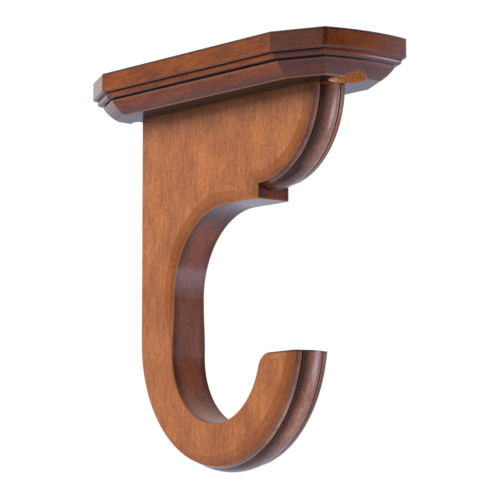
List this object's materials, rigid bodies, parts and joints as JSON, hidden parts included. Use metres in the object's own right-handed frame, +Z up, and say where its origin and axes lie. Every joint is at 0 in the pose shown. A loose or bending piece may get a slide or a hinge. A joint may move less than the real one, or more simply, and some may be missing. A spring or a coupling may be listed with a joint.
{
  "type": "ceiling bracket",
  "caption": "Stained hardwood hook bracket that screws up to a ceiling and carries a wooden curtain pole in its open throat.",
  "frame": {"origin": "middle of the plate's ceiling face", "axes": "+Z up into the ceiling, +X the way the hook opens, Y across the arm's thickness"},
  "size_m": [0.1782, 0.0676, 0.1835],
  "materials": {
    "stained_wood": "stained mid-brown and lacquered to a soft gloss",
    "screw_steel": "plain zinc-plated"
  },
  "bodies": {
    "root": {"ceiling_plate": "stained_wood", "hook_arm": "stained_wood", "arm_screw_back": "screw_steel", "arm_screw_front": "screw_steel"}
  },
  "joints": []
}
